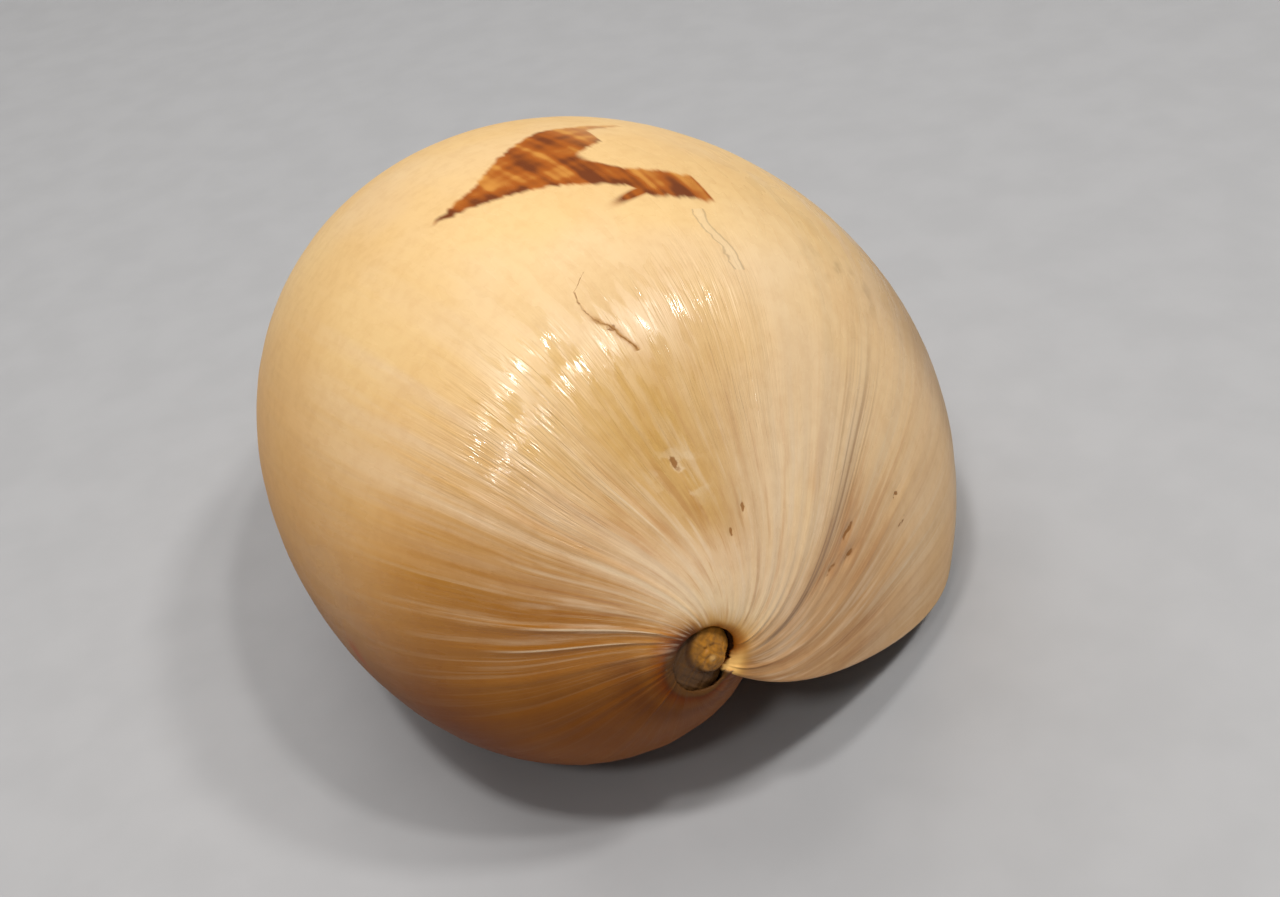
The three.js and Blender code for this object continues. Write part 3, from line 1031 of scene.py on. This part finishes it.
@dataclass(frozen=True)
class Glaze:
    """The shell's finish: cream and tan growth streaks under a wet gloss, one brown blotch, and painted
    shade, glints and highlights.
    """

    hues: Palette = Palette()
    zones: tuple[tuple[float, Colour], ...] = (
        (0.0, (0.24, 0.065, 0.006)),
        (0.05, (0.42, 0.14, 0.012)),
        (0.09, (0.56, 0.23, 0.03)),
        (0.125, (0.74, 0.42, 0.14)),
        (0.165, (0.92, 0.68, 0.4)),
        (0.22, (0.86, 0.6, 0.35)),
        (0.26, (0.76, 0.49, 0.25)),
        (0.31, (0.75, 0.47, 0.2)),
        (0.37, (0.82, 0.53, 0.22)),
        (0.44, (0.9, 0.62, 0.29)),
        (0.7, (0.88, 0.6, 0.28)),
        (1.0, (0.82, 0.54, 0.26)),
    )
    tone_and_shade_bands: tuple[Band, ...] = (
        # Painted shade: the older growth darker and browner towards the lower side.
        Band((0.4, 0.29, 0.12), ((2.8, 4.0),)),
        # Painted shade near the rim on the older growth.
        Band((0.66, 0.56, 0.46), ((2.3, 3.1),), ((0.28, 0.14),)),
        # Painted shade, greyer over the older growth.
        Band((0.78, 0.76, 0.68), ((2.45, 3.05), (3.65, 3.05)), ((0.18, 0.24), (0.46, 0.36))),
        # Painted shade, browner on the lower side away from the apex.
        Band((0.62, 0.43, 0.2), ((3.1, 3.8),), ((0.34, 0.43),)),
        Band((0.74, 0.6, 0.42), ((2.1, 1.9),), ((0.125, 0.1),)),
        # Painted shade on the older growth's lower side near the apex.
        Band((0.72, 0.62, 0.55), ((3.2, 3.5),), ((0.17, 0.22), (0.27, 0.22))),
        # Painted shade in the rim's shadow on the older growth.
        Band((0.45, 0.36, 0.26), ((2.2, 2.6),), ((0.17, 0.13),)),
        Band((0.72, 0.66, 0.6), ((0.8, 0.4),), ((0.19, 0.13),)),
        Band((0.8, 0.71, 0.64), ((1.15, 0.75),), ((0.1, 0.14), (0.34, 0.26))),
        # Dark brown on the old rim: dirt, deepened by painted shade of the lower side.
        Band((0.13, 0.055, 0.014), ((3.0, 3.4),), ((0.165, 0.14),), 0.85, Blend.OVER),
        Band((0.9, 0.8, 0.7), ((1.2, 0.2),)),
        Band((0.62, 0.6, 0.6), ((1.1, 0.6),), ((0.38, 0.43),)),
    )
    blotch_from: float = 1.36
    blotch_to: float = 2.08
    edge_low: float = 0.4
    edge_high: float = 0.6
    edge_soft: float = 0.003
    upper_edge: Path = (
        (1.36, 0.456), (1.44, 0.458), (1.575, 0.465), (1.61, 0.479), (1.75, 0.497), (1.86, 0.508),
        (2.08, 0.53),
    )
    lower_edge: Path = (
        (1.36, 0.566), (1.6, 0.575), (1.72, 0.562), (1.8, 0.55), (1.9, 0.535), (2.08, 0.527),
    )
    notch_upper: Path = (
        (1.36, 0.48), (1.44, 0.485), (1.57, 0.497), (1.63, 0.515), (2.08, 0.515),
    )
    notch_lower: Path = (
        (1.36, 0.566), (1.5, 0.56), (1.52, 0.537), (1.63, 0.524), (2.08, 0.515),
    )
    crack: Path = (
        (0.37, 1.909), (0.389, 1.94), (0.395, 1.963), (0.412, 1.976), (0.419, 1.963), (0.427, 1.895),
    )
    scar: Path = (
        (0.404, 1.478), (0.42, 1.486), (0.436, 1.512), (0.45, 1.5),
    )
    pits: tuple[Pit, ...] = Relief.pits
    lip_length: float = 270.0
    lip_speed: float = 60.0
    # Glints on the ridge crests, painted as pale lines; the height is how bright each one is.
    ridge_glints: tuple[Ridge, ...] = (
        Ridge(3.18, 0.17, 0.34, 0.8, 0.008),
        Ridge(3.32, 0.2, 0.36, 0.7, 0.007),
        Ridge(2.33, 0.24, 0.34, 0.6, 0.006),
        Ridge(2.56, 0.1, 0.3, 0.4, 0.03),
        Ridge(2.72, 0.1, 0.32, 0.5, 0.025),
        Ridge(2.86, 0.12, 0.36, 0.4, 0.012),
        Ridge(3.02, 0.1, 0.3, 0.4, 0.012),
    )

    def edge(self, at: Growth, points: Path) -> Wire:
        """The place along the lip of one edge of the blotch, for each age."""
        span = self.blotch_to - self.blotch_from
        depth = self.edge_high - self.edge_low
        scaled = [((a - self.blotch_from) / span, (s - self.edge_low) / depth) for a, s in points]
        across = at.bench.curve((at.age - self.blotch_from) / span, scaled)
        return across * depth + self.edge_low

    def mark(self, at: Growth, nudge: Any, path: Path) -> Wire:
        """Distance in radians from a fine line that runs across the growth lines.

        Args:
            at: what the glaze reads at each point.
            nudge: how far the reading is shifted, in radians, which makes the line uneven.
            path: the line's points, as place along the lip and age, from the apex on.

        Returns:
            How far each point is from the line, and 1 more past its ends.
        """
        low, high = path[0][0], path[-1][0]
        scaled = [((s - low) / (high - low), a - 1.0) for s, a in path]
        centre = at.bench.curve((at.along - low) / (high - low), scaled) + 1.0
        past = (at.along - low).rise(0.0, -0.001) + (at.along - high).rise(0.0, 0.001)
        return abs(at.age + nudge - centre) + past

    def hollows(self, at: Growth) -> Wire:
        """Where the pits are, from 0 at a ragged edge to 1 at the middle."""
        age = at.age + at.jag * 0.035
        along = at.along + at.jag * 0.008
        deepest: Any = 0.0
        for pit in self.pits:
            speed = self.lip_speed * math.exp(-GrowthLaw.radial_rate * pit.age)
            down = ((along - pit.s) * (self.lip_length / pit.length)) ** 2.0
            across = ((age - pit.age) * (speed / pit.width)) ** 2.0
            deepest = (down + across).rise(0.3, 0.0).most(deepest)
        return deepest * at.speck.rise(0.36, 0.52)

    def blotch(self, at: Growth) -> Wire:
        """Where the brown blotch is, from 0 to 1, with comb-like edges along the growth lines."""
        comb = at.grain(at.age * 42.0, at.along * 2.0) - 0.5
        teeth = at.grain(at.age * 120.0, at.along * 6.0) - 0.5
        shifted = at.along + comb * 0.008 + teeth * 0.002
        soft = self.edge_soft
        upper = (shifted - self.edge(at, self.upper_edge)).rise(-soft, soft)
        lower = (self.edge(at, self.lower_edge) - shifted).rise(-soft, soft)
        over = (shifted - self.edge(at, self.notch_upper)).rise(-soft, soft)
        under = (self.edge(at, self.notch_lower) - shifted).rise(-soft, soft)
        prong = at.age.rise(1.37, 1.39) * at.along.rise(0.52, 0.53)
        ends = at.age.rise(1.408, 1.416).most(prong) * at.age.rise(2.075, 2.05)
        notch = over * under * at.age.rise(1.64, 1.61)
        spur = (at.along - 0.472 + (at.age - 1.58) * 0.06).hump(0.0, 0.0055) * at.age.rise(1.72, 1.6)
        body = upper * lower * (1.0 - notch) * ends
        return body.most((spur * 1.7).least(1.0) * at.age.rise(1.54, 1.57))

    def ground(self, at: Growth) -> Wire:
        """The zones of colour from the apex out to the far end."""
        shift = at.age.rise(1.2, 0.5) * 0.025 + at.age.hump(1.5, 0.7) * 0.012
        shift = shift - at.age.rise(2.1, 3.0) * 0.055
        zone = at.along + shift * at.along.rise(0.26, 0.15)
        return at.bench.ramp(zone + (at.broad - 0.5) * 0.04 + (at.cloud - 0.5) * 0.02, self.zones)

    def tones(self, at: Growth, coat: Coat) -> None:
        """The tones of the fresh, the golden and the old stretches of the growth, with painted shade that
        darkens the older growth towards the lower side.
        """
        pink = at.age.hump(1.35, 0.75) * at.along.hump(0.25, 0.06) * at.cloud.rise(0.35, 0.6)
        coat.lay(pink * 0.6, self.hues.blush)
        clear = at.age.rise(1.8, 1.35) * at.along.rise(0.17, 0.24) * at.along.rise(0.46, 0.4)
        coat.lay(clear * 0.75, self.hues.ivory)
        gold = at.line.hump(1.95, 0.55) * at.along.rise(0.22, 0.27) * at.along.rise(0.42, 0.32)
        coat.lay(gold * 0.7, self.hues.honey)
        # Painted shade: the older growth turns tan and darker towards the lower side, only partly its own
        # tone.
        coat.stain(at.age.rise(2.3, 3.2) * (1.0 - at.along.rise(0.38, 0.5) * 0.3), self.hues.tan_and_shade)
        for band in self.tone_and_shade_bands:
            put = coat.stain if band.blend is Blend.MULTIPLY else coat.lay
            put(band.cover(at.age, at.along), band.tone)

    def clouds(self, at: Growth, coat: Coat) -> None:
        """The soft streaks and the milky clouds between the sharper streaks."""
        bold = at.along.rise(0.1, 0.15) * at.along.rise(0.4, 0.26) * at.age.rise(3.6, 2.8)
        coat.lay(at.soft.rise(0.5, 0.66) * bold * 0.4, self.hues.flax)
        coat.stain(at.soft.rise(0.48, 0.34) * bold * 0.45, self.hues.fawn)
        wide = at.bench.noise(at.place, 24.0, 2.0)
        milky = wide.rise(0.5, 0.66) * at.along.rise(0.14, 0.2) * at.age.rise(3.0, 2.4)
        coat.lay(milky * 0.28, self.hues.oat)
        coat.stain(wide.rise(0.46, 0.32) * 0.22, self.hues.wheat)
        pale = at.broad.rise(0.42, 0.62) * at.line.hump(2.6, 0.6) * at.along.rise(0.13, 0.2)
        coat.lay(pale * at.along.rise(0.6, 0.4) * 0.55, self.hues.biscuit)

    def streaks(self, at: Growth, coat: Coat) -> None:
        """The sharper streaks along the growth lines, the mottling, and the grey growth scar."""
        even = 0.2 + 0.8 * at.along.rise(0.1, 0.24) * at.age.rise(3.9, 3.0)
        coat.lay(at.streak.rise(0.52, 0.66) * (at.near * 0.2 + 0.05) * even, self.hues.milk_and_glint)
        coat.stain(at.streak.rise(0.48, 0.3) * (at.near * 0.12 + 0.04) * even, self.hues.tan)
        hair = at.fine.rise(0.58, 0.66) * at.streak.rise(0.45, 0.58) * (at.near * 0.2 + 0.02)
        coat.lay(hair * even, self.hues.straw)
        coat.stain(at.cloud.rise(0.35, 0.7) * 0.2, self.hues.dun)
        mottle = at.bench.noise(at.place, 420.0, 3.0, 0.6)
        coat.stain(mottle.rise(0.4, 0.7) * 0.16, self.hues.clay)
        lines = at.line.hump(1.0, 0.17) * at.along.rise(0.12, 0.17) * at.along.rise(0.42, 0.3)
        lines = lines * at.grain(at.line * 36.0, at.along * 3.0, 3.0).rise(0.45, 0.6)
        haze = at.line.hump(1.0, 0.12) * at.along.rise(0.12, 0.16) * at.along.rise(0.36, 0.26)
        coat.stain(lines.most(haze * 0.5) * 0.8, self.hues.lead)

    def markings(self, at: Growth, coat: Coat) -> None:
        """The brown blotch, the second brown mark near the ground, and the glints on the ridge crests,
        painted as pale lines.
        """
        bars = at.grain(at.age * 24.0, at.along * 7.0) * 0.6
        bars = bars + at.grain(at.age * 7.0, at.along * 60.0 + 3.0) * 0.4
        bars = bars + at.age.hump(1.63, 0.04) * 0.05 + at.age.rise(1.86, 2.0) * 0.06 - 0.02
        bars = bars + (at.along - self.edge(at, self.upper_edge)).rise(0.016, 0.002) * 0.1
        brown = at.bench.mix(bars.rise(0.5, 0.66), self.hues.rust, self.hues.umber)
        brown = at.bench.mix(bars.rise(0.52, 0.38), brown, self.hues.amber)
        faded = at.age.rise(1.62, 1.42) * at.along.rise(0.52, 0.54)
        coat.lay(self.blotch(at) * (0.95 - faded * 0.4), brown)
        second = at.age.hump(3.5, 0.13) * at.along.hump(0.492, 0.012) * at.streak.rise(0.35, 0.5)
        coat.lay(second, self.hues.rust)
        # Painted glints: pale lines along the ridge crests.
        for crest in self.ridge_glints:
            reach = at.along.rise(crest.start, crest.start + 0.04)
            reach = reach * at.along.rise(crest.stop, crest.stop - 0.05) * crest.height
            coat.lay(at.line.hump(crest.line, crest.half_width * 1.6) * reach, self.hues.milk_and_glint)

    def damage(self, at: Growth, coat: Coat, hollow: Wire, split: Wire) -> None:
        """The scuffs, the pits, the crack and the flake scar, with painted light and shade on the lifted
        flake.

        Args:
            at: what the glaze reads at each point.
            coat: the colour so far.
            hollow: where the pits are.
            split: distance from the crack in radians.
        """
        scuff = at.age.hump(1.98, 0.2) * at.along.hump(0.29, 0.035)
        coat.lay(scuff * at.speck.rise(0.5, 0.6) * 0.6, self.hues.milk_and_glint)
        smudge = at.age.hump(1.05, 0.28) * at.along.hump(0.42, 0.035)
        smudge = smudge * at.grain(at.age * 16.0, at.along * 60.0, 2.0).rise(0.5, 0.7)
        coat.stain(smudge * 0.35, self.hues.soot)
        coat.lay((hollow * 1.5).least(0.85), self.hues.pitted)
        coat.stain(split.rise(0.02, 0.0) * at.along.rise(0.412, 0.395) * 0.4, self.hues.tan)
        gape = split.rise(0.01, 0.006) * at.along.rise(0.402, 0.396) * at.along.rise(0.366, 0.374)
        coat.lay(gape * 0.6, self.hues.chipped)
        broken = at.jag.rise(-0.12, 0.02)
        coat.lay(split.rise(0.0034, 0.001) * (0.3 + broken * 0.4), self.hues.cracked)
        # The flake scar: a grey outline darkened as painted shadow under the lifted edge, and a painted
        # highlight on the flake's top beside it.
        flake = self.mark(at, at.shiver, self.scar)
        flake = flake.least(self.mark(at, at.shiver * 0.5 + 0.03, self.scar))
        coat.lay(self.mark(at, 0.015, self.scar).rise(0.02, 0.008) * 0.22, self.hues.flake_lit_top)
        coat.lay(flake.rise(0.005, 0.001) * 0.5, self.hues.flake_line_and_shadow)

    def dirt(self, at: Growth, coat: Coat) -> None:
        """The bright start of the lip, the dirt round the apex, a pale patch on the rim painted as a
        highlight, and the mouth's own colour.
        """
        wedge = at.age.rise(0.9, 0.4) * at.along.rise(0.125, 0.085) * at.along.rise(0.02, 0.045)
        coat.lay(wedge * (0.55 + at.soft * 0.6), self.hues.apricot)
        brim = (at.along + (at.speck - 0.5) * 0.16 + at.jag * 0.06).rise(0.05, 0.025)
        coat.lay(brim * at.age.rise(0.25, 0.7) * 0.95, self.hues.grime)
        spots = at.along.rise(0.13, 0.08) * at.speck.rise(0.4, 0.6) * at.age.rise(1.9, 2.6)
        coat.lay(spots * 0.7, self.hues.grime)
        # Painted highlight: a speckled pale patch on the rim near the apex.
        rim_highlight = at.age.hump(3.75, 0.35) * at.along.hump(0.148, 0.014) * at.speck.rise(0.44, 0.56)
        coat.lay(rim_highlight * 0.6, self.hues.rim_highlight)
        inside = at.age.rise(-0.01, -0.08).most(at.age.rise(TURN - 0.1, TURN + 0.1))
        coat.lay(inside, self.hues.mouth)

    def folds(self, at: Growth, patch: Wire, split: Wire) -> Wire:
        """The height of the fine folds in millimetres, liveliest on the glossy stretch.

        Args:
            at: what the glaze reads at each point.
            patch: where the gloss is dull.
            split: distance from the crack in radians.

        Returns:
            The height for the normal.
        """
        lively = at.along.rise(0.26, 0.32) * at.along.rise(0.45, 0.39)
        lively = lively * at.age.rise(1.3, 1.6) * at.age.rise(2.9, 2.45)
        ripple = at.grain(at.line * 112.0, at.along * 30.0, 2.0, 0.6)
        scratch = at.grain(at.line * 46.0, at.along * 16.0 + 7.0)
        height = (at.streak - 0.5) * (at.near * 0.05 + 0.012) + (at.fine - 0.5) * 0.006
        height = height + (ripple - 0.5) * (0.004 + lively * (0.15 - patch * 0.06))
        height = height + scratch.rise(0.55, 0.6) * lively * 0.035
        return height + (at.broad - 0.5) * 0.12 - split.rise(0.005, 0.0) * 0.05

    def gloss(self, at: Growth, hollow: Wire, split: Wire) -> Wire:
        """How much of the wet surface shows over the worn one."""
        shine = at.along.rise(0.1, 0.2) * at.along.rise(0.56, 0.44)
        shine = shine * at.age.rise(0.4, 1.2) * at.age.rise(3.7, 3.0)
        return shine * (1.0 - hollow.most(split.rise(0.008, 0.003))) * 0.9 + 0.03

    def material(self) -> bpy.types.Material:
        """The finish as a material."""
        bench = Bench("shell_glaze")
        at = Growth(bench)
        coat = Coat(bench, self.ground(at))
        hollow = self.hollows(at)
        split = self.mark(at, at.shiver, self.crack)
        patch = at.grain(at.line * 14.0, at.along * 20.0, 2.0, 0.7).rise(0.4, 0.56)
        self.tones(at, coat)
        self.clouds(at, coat)
        self.streaks(at, coat)
        self.markings(at, coat)
        self.damage(at, coat, hollow, split)
        self.dirt(at, coat)
        normal = bench.relief(self.folds(at, patch, split))
        worn = {
            "Base Color": coat.colour,
            "Roughness": 0.42 + at.streak * 0.1,
            "Specular IOR Level": 0.1,
            "Normal": normal,
        }
        wet = {
            "Base Color": coat.colour,
            "Roughness": 0.06 + at.streak * 0.05 + patch * 0.3,
            "IOR": 1.56,
            "Normal": normal,
        }
        shine = self.gloss(at, hollow, split)
        return bench.finish(bench.coated(shine, bench.surface(worn), bench.surface(wet)))


@dataclass(frozen=True)
class FirstWhorls:
    """The finish of the apex: worn amber mounds with dark dirt in the crevices."""

    amber: Colour = (0.48, 0.2, 0.024)
    olive: Colour = (0.3, 0.13, 0.02)
    pearl: Colour = (0.62, 0.36, 0.12)
    ash: Colour = (0.11, 0.05, 0.016)
    dirt: Colour = (0.045, 0.014, 0.004)

    def material(self) -> bpy.types.Material:
        """The finish as a material."""
        bench = Bench("first_whorls")
        first = bench.attribute("first")
        height = bench.attribute("height")
        place = bench.place()
        grain = bench.noise(place, 900.0, 3.0)
        middle = bench.attribute("middle")
        tint = bench.mix(grain.rise(0.35, 0.7), self.amber, self.olive)
        tint = bench.mix(middle.rise(0.9, 0.2) * 0.75, tint, self.pearl)
        tint = bench.mix(first.rise(0.7, -0.1), tint, self.ash)
        edge = abs(first - 0.1 + (grain - 0.5) * 0.3).rise(0.35, 0.05)
        tint = bench.mix(edge * 0.55, tint, self.dirt)
        tint = bench.mix(height.rise(-1.1, -1.7), tint, self.dirt)
        return bench.finish(
            bench.surface(
                {
                    "Base Color": tint,
                    "Roughness": 0.34 + grain * 0.12,
                    "Specular IOR Level": 0.22,
                    "Normal": bench.relief(grain * 0.1),
                }
            )
        )


@dataclass(frozen=True)
class Lamp:
    """A soft square lamp that looks at the shell."""

    name: str
    toward: Place
    distance: float
    size: float
    watts: float
    mirrored: bool = True
    colour: Colour = (1.0, 0.985, 0.96)


@dataclass
class Studio:
    """A plain pale floor, soft light and the photograph's camera."""

    aim: Place = (0.0, -0.02, 0.05)
    lamps: tuple[Lamp, ...] = (
        Lamp("lamp_left", (-0.27, -0.2, 0.94), 1.5, 0.13, 6.0),
        Lamp("lamp_middle", (0.22, -0.38, 0.9), 1.5, 0.11, 4.5),
        Lamp("lamp_right", (0.42, -0.31, 0.85), 1.5, 0.15, 5.5),
        Lamp("lamp_near", (-0.44, -0.5, 0.75), 1.5, 0.14, 3.2),
        Lamp("soft_back", (-0.1, 0.5, 0.86), 1.3, 1.1, 7.5, False),
        Lamp("soft_front", (0.1, -0.6, 0.79), 1.3, 0.9, 1.3, False),
    )
    floor_tone: Colour = (0.46, 0.46, 0.47)
    floor_shade: Colour = (0.7, 0.7, 0.7)
    floor_size: float = 6.0
    sky: float = 0.07
    camera_place: Place = (-0.08653, -0.23649, 0.19945)
    camera_right: Place = (0.869, -0.4745, -0.1404)
    camera_up: Place = (0.3824, 0.464, 0.799)
    lens: float = 41.4
    sensor: float = 36.0

    def floor(self) -> bpy.types.Object:
        """The floor, marked as stage."""
        bpy.ops.object.select_all(action="DESELECT")
        bpy.ops.mesh.primitive_plane_add(size=self.floor_size, location=(0, 0, 0))
        floor = bpy.context.object
        floor.name = "floor"
        bench = Bench("floor_paper")
        grain = bench.noise(bench.place(), 60.0, 3.0)
        tone = bench.mix(grain.rise(0.3, 0.7) * 0.15, self.floor_tone, self.floor_shade, Blend.MULTIPLY)
        floor.data.materials.append(bench.finish(bench.surface({"Base Color": tone, "Roughness": 0.7})))
        floor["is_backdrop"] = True
        return floor

    def light(self) -> None:
        """The lamps and the plain sky."""
        aim = Vector(self.aim)
        for lamp in self.lamps:
            toward = Vector(lamp.toward).normalized()
            bpy.ops.object.light_add(type="AREA", location=aim + toward * lamp.distance)
            made = bpy.context.object
            made.name = lamp.name
            made.data.size = lamp.size
            made.data.energy = lamp.watts
            made.data.color = lamp.colour
            made.visible_glossy = lamp.mirrored
            made.rotation_euler = toward.to_track_quat("Z", "Y").to_euler()
        world = bpy.data.worlds.new("studio")
        world.use_nodes = True
        back = world.node_tree.nodes["Background"]
        back.inputs["Color"].default_value = (1.0, 1.0, 1.0, 1.0)
        back.inputs["Strength"].default_value = self.sky
        bpy.context.scene.world = world

    def camera(self) -> None:
        """The camera, where the photograph was taken from."""
        bpy.ops.object.camera_add(location=self.camera_place)
        camera = bpy.context.object
        camera.name = "photo_camera"
        right = Vector(self.camera_right).normalized()
        up = Vector(self.camera_up)
        up = (up - right * up.dot(right)).normalized()
        turn = Matrix((right, up, right.cross(up))).transposed()
        camera.rotation_euler = turn.to_euler()
        camera.data.sensor_fit = "HORIZONTAL"
        camera.data.sensor_width = self.sensor
        camera.data.lens = self.lens
        camera.data.clip_start = 0.01
        bpy.context.scene.camera = camera


@dataclass
class Volute:
    """The whole shell: whorl, pillar and apex grown as one piece."""

    pose: Pose = field(default_factory=Pose)
    law: GrowthLaw = field(default_factory=GrowthLaw)
    relief: Relief = field(default_factory=Relief)

    def build(self, planned: Sequence[Sequence[float]]) -> bpy.types.Object:
        """The finished shell, in place of the plain one.

        Args:
            planned: the lowest and highest corner of the plain shell, which this one keeps within.

        Returns:
            The shell.
        """
        whorl = Whorl(self.law, self.relief, self.pose).build()
        pillar = Pillar(self.pose).build()
        apex = Apex(self.pose).build()
        glaze = Glaze().material()
        whorl.data.materials.append(glaze)
        pillar.data.materials.append(glaze)
        apex.data.materials.append(FirstWhorls().material())
        bpy.ops.object.select_all(action="DESELECT")
        for piece in (pillar, apex, whorl):
            piece.select_set(True)
        bpy.context.view_layer.objects.active = whorl
        bpy.ops.object.join()
        kept = np.clip(coordinates(whorl.data), planned[0], planned[1])
        whorl.data.vertices.foreach_set("co", kept.ravel())
        whorl.data.update()
        bpy.ops.object.shade_smooth()
        whorl.name = "volute"
        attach(whorl, "root")
        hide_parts("shell")
        return whorl


def triangles(piece: bpy.types.Object) -> int:
    """How many triangles a piece has."""
    return sum(len(face.vertices) - 2 for face in piece.data.polygons)


def main() -> None:
    """Builds the shell within the plain shell's box, and the studio."""
    logging.basicConfig(level=logging.INFO, format="%(name)s: %(message)s")
    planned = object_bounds()
    shell = Volute().build(planned)
    log.info("shell: %d triangles", triangles(shell))
    studio = Studio()
    studio.floor()
    log.info("floor laid")
    studio.light()
    studio.camera()
    log.info("lamps and camera set")
    bpy.context.scene.view_settings.view_transform = "Standard"


if __name__ == "__main__":
    main()
